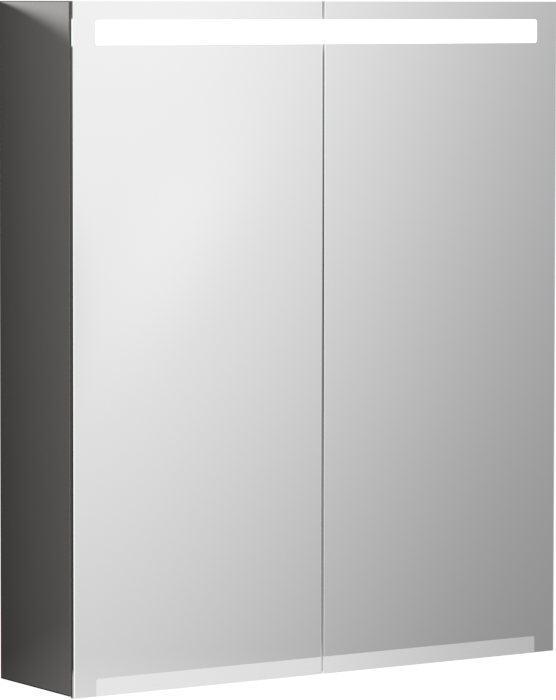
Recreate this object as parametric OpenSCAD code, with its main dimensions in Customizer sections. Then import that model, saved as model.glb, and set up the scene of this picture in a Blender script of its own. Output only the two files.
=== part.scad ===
// Two-door mirror cabinet with a lit band across the doors, hung on a wall rail.
// Origin: on the wall, midway between the two rail screws. +Y runs into the wall, +Z up.

/* [Cabinet] */
// Overall width
cab_w = 600; // [500:1:900]
// Overall height, which is the height of the doors
cab_h = 700; // [640:1:900]
// Depth from the wall to the mirror face
cab_d = 150; // [140:1:200]
// Thickness of the boards of the carcass
board_t = 10; // [9:0.5:12]
// Thickness of the metal cladding on each outer side
cladding_t = 2; // [1:0.5:3]
// Thickness of the top and bottom panels
panel_t = 12; // [10:0.5:16]
// Thickness of the board that closes the back
back_t = 4; // [3:0.5:5]
// Thickness of the mirror glued to the back board
back_mirror_t = 3; // [2:0.5:4]
// Space behind the back board for the rail and the cable
back_space = 12; // [11:0.5:16]
// Depth of the grooves that hold the back board
groove_depth = 4; // [2:0.5:5]

/* [Doors] */
// Front mirror sheet of each door
front_sheet_t = 3; // [2:0.5:4]
// Rear mirror sheet of each door
rear_sheet_t = 3; // [2:0.5:4]
// Gap between the two doors
door_gap = 3; // [2:0.5:5]
// Gap between the doors and the carcass
door_setoff = 2; // [1.8:0.1:3]
// How far the doors hang below the bottom of the carcass
door_hang = 1; // [0:0.5:3]
// Height of the satin grip strip along the bottom edge
grip_h = 18; // [12:0.5:30]
// Radius of its upper outer corner
grip_corner_r = 2.5; // [0.5:0.5:5]
// Diameter of the clear door buffers
bumper_d = 8; // [6:0.5:10]
// Distance of each buffer from the middle of the cabinet
bumper_x = 30; // [15:1:80]

/* [Light] */
// From the outer edge of a door to the end of the lit band and of the grip strip
band_side = 26; // [15:1:60]
// From the top edge of a door to the lit band
band_top = 19; // [15:0.5:25]
// Height of the lit band
band_h = 25; // [18:0.5:28]
// Radius of the band's outer corners
band_corner_r = 3; // [0.5:0.5:6]
// How far the opal strip behind the band runs past its outer end
strip_lap = 12; // [4:1:14]
// Height of the lamp tray behind the band
tray_h = 38; // [36:0.5:44]
// Depth of the lamp tray
tray_d = 34; // [24:0.5:40]
// Wall of the lamp tray
tray_wall = 1.5; // [1:0.1:2.5]
// Thickness of the opal cover of the lamp tray
diffuser_t = 2; // [1:0.5:3]
// Distance between neighbouring light diodes
led_pitch = 18; // [12:0.5:30]

/* [Hinges] */
// Height of the lower hinges above the bottom of the carcass
hinge_low = 95; // [60:1:150]
// Height of the upper hinges above the bottom of the carcass
hinge_high = 560; // [480:1:570]
// From the inner face of the side to the arm pivot
pivot_in = 4.4; // [4.2:0.1:4.8]
// From the front edge of the side to the arm pivot
pivot_back = 2.5; // [2.4:0.1:3]
// Pivot distance of the link, sideways, with the door shut
link_x = 15.8; // [15.4:0.1:16.2]
// Pivot distance of the link, front to back, with the door shut
link_y = 23.7; // [23.2:0.1:24.2]
// Radius of the rounded ends of the link
link_r = 2.8; // [2.4:0.1:3]
// Thickness of the link
link_t = 6; // [4:0.5:8]
// Diameter of the hinge pins
pin_d = 3; // [2:0.1:3.4]
// Radial running clearance of the link on its pins
pin_play = 0.05; // [0.02:0.01:0.1]
// Gap between the link and the cheeks beside it
cheek_gap = 0.3; // [0.2:0.05:0.5]
// Thickness of one cheek
cheek_t = 2.7; // [2:0.1:4]
// Height of the hinge foot plates
foot_h = 32; // [24:1:44]

/* [Shelves] */
// Thickness of the glass shelves
shelf_t = 6; // [4:0.5:8]
// Depth of the glass shelves
shelf_d = 100; // [80:1:104]
// Gap between a shelf and each side
shelf_gap = 1; // [0.5:0.5:3]
// Underside of the lower shelf above the bottom of the carcass
shelf_low = 225; // [180:1:300]
// Underside of the upper shelf above the bottom of the carcass
shelf_high = 430; // [340:1:460]
// Diameter of the shelf pegs
peg_d = 5; // [4:0.5:6]
// Spacing of the spare peg holes above and below each shelf
peg_pitch = 32; // [25:1:40]

/* [Wall rail] */
// From the top of the carcass down to the rail screws
rail_drop = 46; // [44:1:60]
// Distance between the two rail screws
rail_screw_gap = 300; // [200:1:340]
// Diameter of the screw holes in the rail
rail_hole_d = 6; // [5:0.5:8]
// Length of the rail
rail_w = 360; // [360:1:380]
// Thickness of the rail and of the hanger
rail_t = 2; // [1.5:0.5:2.5]
// How far the lip of the rail stands off the wall
rail_lip = 7; // [6:0.5:8]

/* [Electrics] */
// Thickness of the sheet under the lamp and the wiring
cover_t = 2; // [1:0.5:3]
// From the inner face of the right side to the middle of the socket
socket_side = 73; // [68:1:85]
// Distance between socket and switch
switch_gap = 60; // [55:1:90]
// Gap between the lamp tray and the socket
outlet_gap = 7.5; // [2:0.5:10]
// Diameter of the plug well
well_d = 39; // [38.8:0.1:40]
// Depth of the plug well
well_depth = 17.5; // [16:0.5:18]
// Diameter of the hole for the supply cable
cable_hole_d = 10; // [8:0.5:12]
// Swing of the rocker, off to on
rocker_swing = 16; // [10:1:18]

/* [Hidden] */
$fn = 48;

// colours
dark_metal = "#434342";
board_grey = "#8d908f";
silver = "#c9cccd";
mirror_tint = "#dfe3e2";
opal = "#ffffff";
satin = "#e6e8e6";
zinc = "#a9abab";

// the carcass
side_t = board_t + cladding_t;
half_w = cab_w / 2;
inner_x = half_w - side_t;
door_t = front_sheet_t + rear_sheet_t;
front_y = -cab_d;
door_back_y = front_y + door_t;
case_y = door_back_y + door_setoff;
top_z = rail_drop;
case_h = cab_h - door_hang;
low_z = top_z - case_h;
ceiling_z = top_z - panel_t;
floor_z = low_z + panel_t;
back_y = -back_space - back_t;
back_mirror_y = back_y - back_mirror_t;
over = 1; // how far a cut runs past a face
back_mirror_gap = 0.5;
block_size = 30;
block_clear = 0.6;
corner_screw_d = 3.5;
corner_screw_l = 18;
corner_screw_y = -back_space / 2;
side_screw_up = 8;
level_screw_in = 18;
screw_seat = 9;
screw_rim = 0.4;

// the doors, drawn on the left and mirrored for the right
door_w = (cab_w - door_gap) / 2;
door_h = cab_h;
door_top_z = top_z;
door_low_z = door_top_z - door_h;
band_high_z = door_top_z - band_top;
band_low_z = band_high_z - band_h;
band_w = door_w - band_side;
rear_y = front_y + front_sheet_t;
strip_x = -half_w + band_side - strip_lap;
bumper_clear = 0.3;
bumper_l = door_setoff - bumper_clear;

// the lamp and the sheet below it
cap_t = 2;
tray_side_gap = 9;
tray_front_gap = 4;
tray_half = inner_x - cap_t - tray_side_gap;
diffuser_inset = 3;
tray_front_y = case_y + tray_front_gap;
tray_back_y = tray_front_y + tray_d;
tray_low_z = ceiling_z - tray_h;
led_mid_z = (band_high_z + band_low_z) / 2;
led_board_h = 12;
led_board_t = 1.6;
led_board_gap = 4;
led_size = 3;
led_t = 0.8;
led_end_gap = 12;
led_count = floor(2 * (tray_half - led_end_gap) / led_pitch);
cover_z = tray_low_z - cover_t;
cover_gap = 0.5;
angle_w = 10;
angle_t = 1.5;
angle_gap = 2;
driver_size = [160, 34, 22];
driver_side_gap = 83;
driver_wall_gap = 22;
driver_pos = [-inner_x + driver_side_gap, -driver_wall_gap - driver_size[1]];
terminal_size = [44, 18, 14];
terminal_x = 40;
terminal_wall_gap = 34;
terminal_pos = [terminal_x, -terminal_wall_gap - terminal_size[1]];
terminal_hole_d = 5;
terminal_hole_depth = 3;
lead_d = 5;
lead_rest = 0.2;
lead_gap = 1;
lead_z = tray_low_z + lead_d / 2 + lead_rest;
driver_mid_y = driver_pos[1] + driver_size[1] / 2;
terminal_mid_y = terminal_pos[1] + terminal_size[1] / 2;
lamp_exit_gap = 25;
lamp_exit_x = driver_pos[0] - lamp_exit_gap;
lamp_exit_z = led_mid_z;

// the outlets, set in the sheet from below
plate_w = 50;
plate_t = 3;
socket_body_h = 30;
socket_wall = 2;
socket_d = well_d + 2 * socket_wall;
socket_x = inner_x - socket_side;
switch_x = socket_x - switch_gap;
outlet_y = tray_back_y + outlet_gap + socket_d / 2;
contact_gap = 19;
contact_d = 5;
contact_tube_d = 6.4;
contact_depth = 10;
contact_recess = 0.5;
contact_floor = 2.5;
earth_w = 5;
earth_t = 1.6;
earth_low = 3;
switch_w = 30;
switch_d = 21;
switch_flange_t = 2;
switch_body = [27, 18.4, 16];
rocker_l = 22;
rocker_w = 15;
rocker_end_gap = 0.8;
rocker_side_gap = 0.3;
rocker_pocket = 8;
rocker_rim = 4.6;
rocker_dip = 3.2;
rocker_keel = 2.5;
rocker_edge = 0.5;
rocker_axle_d = 2;
rocker_axle_z = 1.5;
axle_wall = 0.6;
axle_play = 0.3;
grommet_d = 18;
grommet_flange_d = 23;
grommet_flange_t = 2;
grommet_up = 14;
grommet_z = tray_low_z + grommet_up;

// the hinges
arm_x = -(inner_x - pivot_in);
arm_y = case_y + pivot_back;
arm_pivot = [arm_x, arm_y];
door_pin_x = arm_x + link_x;
door_pin_y = arm_y + link_y;
door_pivot = [door_pin_x, door_pin_y];
hinge_zs = [low_z + hinge_low, low_z + hinge_high];
cheek_low = link_t / 2 + cheek_gap;
hinge_half = cheek_low + cheek_t;
link_waist = 0.8 * link_r;
foot_t = 2;
foot_l = 42;
foot_gap = 6;
foot_front_y = arm_y + foot_gap;
arm_body_x = 8;
arm_body_gap = 14;
arm_body_y = arm_y + arm_body_gap;
arm_body_short = 6;
web_gap = 0.9;
web_x = door_pin_x + link_r + web_gap;
web_top = 8;
web_reach = 30;
web_toe = 3;
plate_margin = 6;
hinge_screw_d = 3;
hinge_screw_l = 9;
hinge_screw_edge = 5;
hinge_screw_zs = [-foot_h / 2 + hinge_screw_edge, foot_h / 2 - hinge_screw_edge];
hinge_screw_gap = 11;
hinge_screw_y = arm_body_y + hinge_screw_gap;

// the shelves
shelf_w = 2 * (inner_x - shelf_gap);
shelf_back_gap = 1;
shelf_back_y = back_mirror_y - shelf_back_gap;
peg_l = 8;
peg_inset = 18;
tab_l = 8;
tab_w = 12;
tab_t = 2.5;
tab_wall = 2;
peg_rows = [for (z = [shelf_low, shelf_high], k = [-1, 0, 1])
    low_z + z - tab_t - peg_d / 2 + k * peg_pitch];
peg_ys = [shelf_back_y - peg_inset, shelf_back_y - shelf_d + peg_inset];

// the rail
rail_base_h = 32;
lip_low_z = rail_base_h / 2 - rail_t;
hanger_t = 2.5;
hanger_short = 10;
hanger_clear = 0.6;
hanger_back_gap = 0.5;
hook_gap = 1;
lip_high_z = ceiling_z - hanger_t;
hanger_w = rail_w - hanger_short;
hanger_y = -rail_lip + rail_t + hanger_clear;
hanger_screw_d = 3;
hanger_screw_l = 10;
hanger_screw_pitch = 100;
hanger_screw_back = 4;
hanger_screw_x = [for (k = [-1.5 : 1 : 1.5]) k * hanger_screw_pitch];
hanger_screw_y = -rail_lip / 2 - hanger_screw_back;

// ---- shared shapes ----

// a box between two corners
module span(a, b) {
    translate(a) cube(b - a);
}

// a drawing in X and Z, pushed along +Y from y by t
module face_y(y, t) {
    translate([0, y + t, 0]) rotate([90, 0, 0]) linear_extrude(t) children();
}

// a section in Y and Z, run along X between x0 and x1
module run_x(x0, x1) {
    translate([x0, 0, 0]) rotate([90, 0, 90]) linear_extrude(x1 - x0) children();
}

// a countersunk screw, its head's flat face at z = 0 and its tip down
module countersunk(d, l) {
    rotate_extrude() polygon([[0, 0], [d, 0], [d, -screw_rim], [d / 2, -screw_rim - d / 2],
        [d / 2, -l + d / 2], [0, -l]]);
}

// rectangle with its lower left corner at the origin and round corners on its left edge
module tongue_2d(w, h, r) {
    translate([r, 0]) square([w - r, h]);
    translate([0, r]) square([r, h - 2 * r]);
    for (z = [r, h - r]) translate([r, z]) circle(r);
}

// the same with only its upper left corner round
module ledge_2d(w, h, r) {
    translate([r, 0]) square([w - r, h]);
    square([r, h - r]);
    translate([r, h - r]) circle(r);
}

module for_right() {
    mirror([1, 0, 0]) children();
}

// on the left for side -1, mirrored to the right for side 1
module mirrored(side) {
    mirror([(1 + side) / 2, 0, 0]) children();
}

// ---- carcass ----

module side_panel() {
    color(board_grey) difference() {
        span([-half_w + cladding_t, case_y, low_z], [-inner_x, 0, top_z]);
        span([-inner_x - groove_depth, back_y, floor_z - groove_depth],
            [-inner_x + over, back_y + back_t, ceiling_z + groove_depth]);
        for (z = peg_rows, y = peg_ys) translate([-inner_x + over, y, z]) rotate([0, -90, 0])
            cylinder(d = peg_d, h = peg_l + over);
        for (z = hinge_zs, s = hinge_screw_zs) translate([-inner_x, hinge_screw_y, z + s])
            hinge_screw_shank();
        corner_side_screws();
    }
}

module side_cladding() {
    color(dark_metal) span([-half_w, case_y, low_z], [-half_w + cladding_t, 0, top_z]);
}

// the top and bottom panels lie between the sides; up is 1 for the top one
module cross_panel(z, up) {
    difference() {
        span([-inner_x, case_y, z], [inner_x, 0, z + panel_t]);
        translate([-half_w, back_y, up > 0 ? z - over : z + panel_t - groove_depth])
            cube([cab_w, back_t, groove_depth + over]);
        for (s = [-1, 1]) mirrored(s) corner_level_screws();
    }
}

module top_panel() {
    color(board_grey) difference() {
        cross_panel(ceiling_z, 1);
        for (x = hanger_screw_x) translate([x, hanger_screw_y, ceiling_z]) hanger_screw();
    }
}

module bottom_panel() {
    color(board_grey) cross_panel(low_z, -1);
}

module back_board() {
    color(board_grey) difference() {
        span([-inner_x - groove_depth, back_y, floor_z - groove_depth],
            [inner_x + groove_depth, back_y + back_t, ceiling_z + groove_depth]);
        translate([socket_x, back_y - over, grommet_z]) rotate([-90, 0, 0])
            cylinder(d = grommet_d, h = back_t + 2 * over);
    }
}

module back_mirror() {
    color(mirror_tint) span([-inner_x + back_mirror_gap, back_mirror_y, floor_z],
        [inner_x - back_mirror_gap, back_y, cover_z]);
}

// a cast block in each back corner ties side, panel and back board together
module corner_block() {
    difference() {
        face_y(-back_space, back_space - block_clear) translate([-inner_x, floor_z])
            polygon([[0, 0], [block_size, 0], [0, block_size]]);
        corner_side_screws();
        corner_level_screws();
    }
}

module corner_side_screws() {
    for (flip = [0, 1]) at_height(flip)
        translate([-inner_x + screw_seat, corner_screw_y, floor_z + side_screw_up]) rotate([0, 90, 0])
            countersunk(corner_screw_d, corner_screw_l);
}

module corner_level_screws() {
    for (flip = [0, 1]) at_height(flip)
        translate([-inner_x + level_screw_in, corner_screw_y, floor_z + screw_seat])
            countersunk(corner_screw_d, corner_screw_l);
}

// flip 0 leaves a shape at the floor of the cabinet, flip 1 mirrors it to the ceiling
module at_height(flip) {
    translate([0, 0, flip * (floor_z + ceiling_z)]) mirror([0, 0, flip]) children();
}

module corner_blocks() {
    color(zinc) for (s = [-1, 1], flip = [0, 1]) mirrored(s) at_height(flip) corner_block();
}

module corner_screws() {
    color(silver) for (s = [-1, 1]) mirrored(s) {
        corner_side_screws();
        corner_level_screws();
    }
}

// ---- wall rail and hanger ----

module wall_rail() {
    color(silver) difference() {
        run_x(-rail_w / 2, rail_w / 2) union() {
            translate([-rail_t, -rail_base_h / 2]) square([rail_t, rail_base_h]);
            translate([-rail_lip, lip_low_z]) square([rail_lip, rail_t]);
            translate([-rail_lip, lip_low_z]) square([rail_t, lip_high_z - lip_low_z]);
        }
        for (s = [-1, 1]) translate([s * rail_screw_gap / 2, -rail_t - over, 0]) rotate([-90, 0, 0])
            cylinder(d = rail_hole_d, h = rail_t + 2 * over);
    }
}

module hanger_screw() {
    translate([0, 0, -hanger_t]) rotate([180, 0, 0]) countersunk(hanger_screw_d, hanger_screw_l);
}

// the hanger hooks over the lip of the rail and carries the top panel
module hanger() {
    color(silver) difference() {
        run_x(-hanger_w / 2, hanger_w / 2) union() {
            translate([-back_space + hanger_back_gap, lip_high_z])
                square([back_space - hanger_back_gap + hanger_y + rail_t, hanger_t]);
            translate([hanger_y, lip_low_z + rail_t + hook_gap])
                square([rail_t, ceiling_z - lip_low_z - rail_t - hook_gap]);
        }
        for (x = hanger_screw_x) translate([x, hanger_screw_y, ceiling_z]) hanger_screw();
    }
}

module hanger_screws() {
    color(zinc) for (x = hanger_screw_x) translate([x, hanger_screw_y, ceiling_z]) hanger_screw();
}

// ---- lamp ----

module lamp_tray() {
    color(silver) difference() {
        span([-tray_half, tray_front_y, tray_low_z], [tray_half, tray_back_y, ceiling_z]);
        span([-tray_half - over, tray_front_y - over, tray_low_z + tray_wall],
            [tray_half + over, tray_back_y - tray_wall, ceiling_z - tray_wall]);
        translate([lamp_exit_x, tray_back_y - tray_wall - over, lamp_exit_z]) rotate([-90, 0, 0])
            cylinder(d = lead_d, h = tray_wall + 2 * over);
    }
}

module lamp_end_caps() {
    color(zinc) for (s = [-1, 1]) mirrored(s)
        span([-tray_half - cap_t, tray_front_y, tray_low_z], [-tray_half, tray_back_y, ceiling_z]);
}

module led_board() {
    color("#f4f4ee") span([-tray_half + led_board_gap, tray_back_y - tray_wall - led_board_t,
        led_mid_z - led_board_h / 2],
        [tray_half - led_board_gap, tray_back_y - tray_wall, led_mid_z + led_board_h / 2]);
}

module led_chips() {
    color("#f2dc6a") for (i = [0 : led_count])
        translate([(i - led_count / 2) * led_pitch - led_size / 2,
            tray_back_y - tray_wall - led_board_t - led_t, led_mid_z - led_size / 2])
            cube([led_size, led_t, led_size]);
}

module lamp_diffuser() {
    color(opal) span([-tray_half, tray_front_y + diffuser_inset, tray_low_z + tray_wall],
        [tray_half, tray_front_y + diffuser_inset + diffuser_t, ceiling_z - tray_wall]);
}

// ---- electrics ----

module electrics_cover() {
    color(silver) difference() {
        span([-inner_x + cover_gap, tray_front_y, cover_z], [inner_x - cover_gap, back_y, tray_low_z]);
        at_socket() translate([0, 0, -over]) cylinder(d = socket_d, h = cover_t + 2 * over);
        at_switch() translate([0, 0, cover_t / 2])
            cube([switch_body[0], switch_body[1], cover_t + 2 * over], center = true);
    }
}

module cover_angles() {
    color(zinc) for (s = [-1, 1]) mirrored(s)
        face_y(tray_back_y + angle_gap, back_y - tray_back_y - 2 * angle_gap)
            translate([-inner_x, tray_low_z]) {
                square([angle_t, angle_w]);
                square([angle_w, angle_t]);
            }
}

module led_driver() {
    color("#f1f1f1") translate([driver_pos[0], driver_pos[1], tray_low_z]) cube(driver_size);
}

module terminal_block() {
    color("#e9e9e4") translate([terminal_pos[0], terminal_pos[1], tray_low_z]) difference() {
        cube(terminal_size);
        for (i = [0 : 2]) translate([terminal_size[0] * (i + 0.5) / 3, terminal_size[1] / 2,
            terminal_size[2] - terminal_hole_depth])
            cylinder(d = terminal_hole_d, h = terminal_hole_depth + over);
    }
}

// a cable through the listed points, its bends rounded by a ball; each leg runs along one axis
module lead(points) {
    for (i = [0 : len(points) - 2]) {
        leg = points[i + 1] - points[i];
        translate(points[i]) rotate(leg[2] != 0 ? [leg[2] > 0 ? 0 : 180, 0, 0] : [0, 90, atan2(leg[1], leg[0])])
            cylinder(d = lead_d, h = norm(leg));
        if (i > 0) translate(points[i]) sphere(d = lead_d);
    }
}

module driver_lead() {
    color("white") lead([[terminal_pos[0], terminal_mid_y, lead_z],
        [driver_pos[0] + driver_size[0], terminal_mid_y, lead_z]]);
}

module lamp_lead() {
    color("white") lead([[driver_pos[0], driver_mid_y, lead_z], [lamp_exit_x, driver_mid_y, lead_z],
        [lamp_exit_x, driver_mid_y, lamp_exit_z], [lamp_exit_x, tray_back_y - tray_wall, lamp_exit_z]]);
}

module outlet_lead() {
    start_x = terminal_pos[0] + terminal_size[0];
    socket_lead_y = terminal_mid_y + lead_d + lead_gap;
    color("white") {
        lead([[start_x, terminal_mid_y, lead_z], [switch_x, terminal_mid_y, lead_z],
            [switch_x, outlet_y + switch_body[1] / 2, lead_z]]);
        lead([[start_x, socket_lead_y, lead_z], [socket_x, socket_lead_y, lead_z],
            [socket_x, outlet_y + socket_d / 2, lead_z]]);
    }
}

// a rubber ring in the back board; its bore takes the supply cable
module cable_grommet() {
    color("#2b2b2b") translate([socket_x, back_y + back_t / 2, grommet_z]) rotate([-90, 0, 0]) difference() {
        union() {
            cylinder(d = grommet_d, h = back_t, center = true);
            for (s = [-1, 1]) translate([0, 0, s * (back_t + grommet_flange_t) / 2])
                cylinder(d = grommet_flange_d, h = grommet_flange_t, center = true);
        }
        cylinder(d = cable_hole_d, h = back_t + 2 * (grommet_flange_t + over), center = true);
    }
}

module at_socket() {
    translate([socket_x, outlet_y, cover_z]) children();
}

module socket_plate() {
    color("#f5f5f3") at_socket() difference() {
        translate([-plate_w / 2, -plate_w / 2, -plate_t]) cube([plate_w, plate_w, plate_t]);
        translate([0, 0, -plate_t - over]) cylinder(d = socket_d, h = plate_t + 2 * over);
    }
}

module socket_insert() {
    color("#f5f5f3") at_socket() difference() {
        translate([0, 0, -plate_t]) cylinder(d = socket_d, h = socket_body_h + plate_t);
        translate([0, 0, -plate_t - over]) cylinder(d = well_d, h = well_depth + over);
        for (s = [-1, 1]) translate([s * contact_gap / 2, 0, well_depth - plate_t - over])
            cylinder(d = contact_tube_d, h = contact_depth + over);
        for (s = [-1, 1]) mirror([0, (1 - s) / 2, 0]) earth_clip();
    }
}

module socket_contacts() {
    color("#c9a64b") at_socket() for (s = [-1, 1])
        translate([s * contact_gap / 2, 0, well_depth - plate_t]) difference() {
            translate([0, 0, contact_recess]) cylinder(d = contact_tube_d, h = contact_depth - contact_recess);
            translate([0, 0, -over]) cylinder(d = contact_d, h = contact_depth - contact_floor + over);
        }
}

// spring strip let into the wall of the plug well
module earth_clip() {
    translate([-earth_w / 2, (well_d - earth_t) / 2, -plate_t + earth_low])
        cube([earth_w, earth_t, well_depth - earth_low]);
}

module earth_clips() {
    color(zinc) at_socket() for (s = [-1, 1]) mirror([0, (1 - s) / 2, 0]) earth_clip();
}

module at_switch() {
    translate([switch_x, outlet_y, cover_z]) children();
}

module switch_frame() {
    color("#f5f5f3") at_switch() difference() {
        union() {
            translate([-switch_w / 2, -switch_d / 2, -switch_flange_t])
                cube([switch_w, switch_d, switch_flange_t]);
            translate([-switch_body[0] / 2, -switch_body[1] / 2, 0]) cube(switch_body);
        }
        translate([-rocker_l / 2 - rocker_end_gap, -rocker_w / 2 - rocker_side_gap, -switch_flange_t - over])
            cube([rocker_l + 2 * rocker_end_gap, rocker_w + 2 * rocker_side_gap,
                switch_flange_t + rocker_pocket + over]);
        translate([0, 0, rocker_axle_z]) rotate([90, 0, 0])
            cylinder(d = rocker_axle_d + 2 * pin_play, h = switch_body[1] - 2 * axle_wall, center = true);
    }
}

// modelled switched on: tipped by half its swing
module switch_rocker() {
    color("#f5f5f3") at_switch() translate([0, 0, rocker_axle_z]) rotate([0, -rocker_swing / 2, 0]) {
        translate([0, rocker_w / 2, 0]) rotate([90, 0, 0]) linear_extrude(rocker_w)
            polygon([[-rocker_l / 2, -rocker_edge], [-rocker_l / 2, -rocker_rim], [0, -rocker_dip],
                [rocker_l / 2, -rocker_rim], [rocker_l / 2, -rocker_edge], [0, rocker_keel]]);
        rotate([90, 0, 0])
            cylinder(d = rocker_axle_d, h = switch_body[1] - 2 * (axle_wall + axle_play), center = true);
    }
}

// ---- shelves ----

module door_bumpers() {
    color("#eef2f2") for (s = [-1, 1], z = [low_z + panel_t / 2, top_z - panel_t / 2])
        translate([s * bumper_x, case_y, z]) rotate([90, 0, 0]) cylinder(d = bumper_d, h = bumper_l);
}

module shelf(z) {
    color("#cfe0dc") span([-shelf_w / 2, shelf_back_y - shelf_d, low_z + z],
        [shelf_w / 2, shelf_back_y, low_z + z + shelf_t]);
}

module shelf_support(y, z) {
    translate([-inner_x - peg_l, y, z - tab_t - peg_d / 2]) rotate([0, 90, 0]) cylinder(d = peg_d, h = peg_l);
    span([-inner_x, y - tab_w / 2, z - tab_t - peg_d], [-inner_x + tab_wall, y + tab_w / 2, z]);
    span([-inner_x, y - tab_w / 2, z - tab_t], [-inner_x + tab_l, y + tab_w / 2, z]);
}

module shelf_supports() {
    color(silver) for (s = [-1, 1], y = peg_ys, z = [shelf_low, shelf_high])
        mirrored(s) shelf_support(y, low_z + z);
}

// ---- hinges, drawn for the left door ----

module each_hinge() {
    for (z = hinge_zs) translate([0, 0, z]) children();
}

// a flat bar between two pivots, with round ends and a slimmer waist
module bar(a, b, r, waist, z0, z1) {
    d = b - a;
    translate([a[0], a[1], z0]) {
        cylinder(r = r, h = z1 - z0);
        translate([d[0], d[1], 0]) cylinder(r = r, h = z1 - z0);
        rotate([0, 0, atan2(d[1], d[0])]) translate([0, -waist, 0]) cube([norm(d), 2 * waist, z1 - z0]);
    }
}

module cheeks() {
    for (s = [-1, 1]) mirror([0, 0, (1 - s) / 2]) translate([0, 0, cheek_low])
        linear_extrude(cheek_t) children();
}

module hinge_screw_shank() {
    translate([foot_t, 0, 0]) rotate([0, 90, 0]) countersunk(hinge_screw_d, hinge_screw_l);
}

module hinge_arm() {
    difference() {
        union() {
            span([-inner_x, foot_front_y, -foot_h / 2], [-inner_x + foot_t, foot_front_y + foot_l, foot_h / 2]);
            span([-inner_x + foot_t, arm_body_y, -hinge_half],
                [-inner_x + arm_body_x, foot_front_y + foot_l - arm_body_short, hinge_half]);
            cheeks() union() {
                translate(arm_pivot) circle(link_r);
                polygon([[arm_x - link_r, arm_y], [arm_x + link_r, arm_y],
                    [-inner_x + arm_body_x, arm_body_y], [arm_x - link_r, arm_body_y]]);
            }
        }
        translate([arm_x, arm_y, -hinge_half - over]) cylinder(d = pin_d, h = 2 * (hinge_half + over));
        for (s = hinge_screw_zs) translate([-inner_x, hinge_screw_y, s]) hinge_screw_shank();
    }
}

module left_hinge_arms() {
    color(zinc) each_hinge() hinge_arm();
}

module hinge_link() {
    difference() {
        bar(arm_pivot, door_pivot, link_r, link_waist, -link_t / 2, link_t / 2);
        for (p = [arm_pivot, door_pivot]) translate([p[0], p[1], -link_t / 2 - over])
            cylinder(d = pin_d + 2 * pin_play, h = link_t + 2 * over);
    }
}

module left_hinge_links() {
    color(silver) each_hinge() hinge_link();
}

// the plate is bonded to the rear mirror, and its web carries the door pin
module hinge_plate() {
    difference() {
        union() {
            span([web_x, door_back_y, -foot_h / 2],
                [web_x + web_reach + plate_margin, door_back_y + foot_t, foot_h / 2]);
            translate([0, 0, -hinge_half]) linear_extrude(2 * hinge_half)
                polygon([[web_x, door_back_y + foot_t], [web_x, door_pin_y + link_r],
                    [web_x + web_top, door_pin_y + link_r],
                    [web_x + web_reach, door_back_y + foot_t + web_toe],
                    [web_x + web_reach, door_back_y + foot_t]]);
            cheeks() union() {
                translate(door_pivot) circle(link_r);
                translate([door_pin_x, door_pin_y - link_r]) square([web_x - door_pin_x, 2 * link_r]);
            }
        }
        translate([door_pin_x, door_pin_y, -hinge_half - over])
            cylinder(d = pin_d, h = 2 * (hinge_half + over));
    }
}

module left_hinge_plates() {
    color(zinc) each_hinge() hinge_plate();
}

module hinge_pin(p) {
    translate([p[0], p[1], -hinge_half]) cylinder(d = pin_d, h = 2 * hinge_half);
}

module left_arm_pins() {
    color(silver) each_hinge() hinge_pin(arm_pivot);
}

module left_door_pins() {
    color(silver) each_hinge() hinge_pin(door_pivot);
}

module hinge_screws() {
    color(silver) for (s = [-1, 1]) mirrored(s) each_hinge()
        for (z = hinge_screw_zs) translate([-inner_x, hinge_screw_y, z]) hinge_screw_shank();
}

// ---- doors, drawn for the left door ----

module left_front_mirror() {
    color(mirror_tint) face_y(front_y, front_sheet_t) difference() {
        translate([-half_w, door_low_z]) square([door_w, door_h]);
        translate([-half_w + band_side, band_low_z]) tongue_2d(band_w + over, band_h, band_corner_r);
        translate([-half_w + band_side, door_low_z - over])
            ledge_2d(band_w + over, grip_h + over, grip_corner_r);
    }
}

// one opal piece: a strip in the rear layer and a raised window in the front layer
module left_light_panel() {
    color(opal) {
        face_y(front_y, front_sheet_t) translate([-half_w + band_side, band_low_z])
            tongue_2d(band_w, band_h, band_corner_r);
        span([strip_x, rear_y, band_low_z], [-half_w + door_w, door_back_y, band_high_z]);
    }
}

module left_rear_mirror() {
    color("#b9bdbb") difference() {
        span([-half_w, rear_y, door_low_z], [-half_w + door_w, door_back_y, door_top_z]);
        span([strip_x, rear_y - over, band_low_z],
            [-half_w + door_w + over, door_back_y + over, band_high_z]);
    }
}

module left_grip_strip() {
    color(satin) face_y(front_y, front_sheet_t) translate([-half_w + band_side, door_low_z])
        ledge_2d(band_w, grip_h, grip_corner_r);
}

side_panel();  // left_side_panel
for_right() side_panel();  // right_side_panel
side_cladding();  // left_side_cladding
for_right() side_cladding();  // right_side_cladding
top_panel();
bottom_panel();
back_board();
back_mirror();
corner_blocks();
corner_screws();
wall_rail();
hanger();
hanger_screws();
lamp_tray();
lamp_end_caps();
led_board();
led_chips();
lamp_diffuser();
electrics_cover();
cover_angles();
led_driver();
terminal_block();
driver_lead();
lamp_lead();
outlet_lead();
cable_grommet();
socket_plate();
socket_insert();
socket_contacts();
earth_clips();
switch_frame();
switch_rocker();
door_bumpers();
shelf(shelf_high);  // upper_shelf
shelf(shelf_low);  // lower_shelf
shelf_supports();
hinge_screws();
left_front_mirror();
left_light_panel();
left_rear_mirror();
left_grip_strip();
left_hinge_plates();
left_hinge_links();
left_hinge_arms();
left_arm_pins();
left_door_pins();
for_right() left_front_mirror();  // right_front_mirror
for_right() left_light_panel();  // right_light_panel
for_right() left_rear_mirror();  // right_rear_mirror
for_right() left_grip_strip();  // right_grip_strip
for_right() left_hinge_plates();  // right_hinge_plates
for_right() left_hinge_links();  // right_hinge_links
for_right() left_hinge_arms();  // right_hinge_arms
for_right() left_arm_pins();  // right_arm_pins
for_right() left_door_pins();  // right_door_pins
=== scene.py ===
import math

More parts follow.
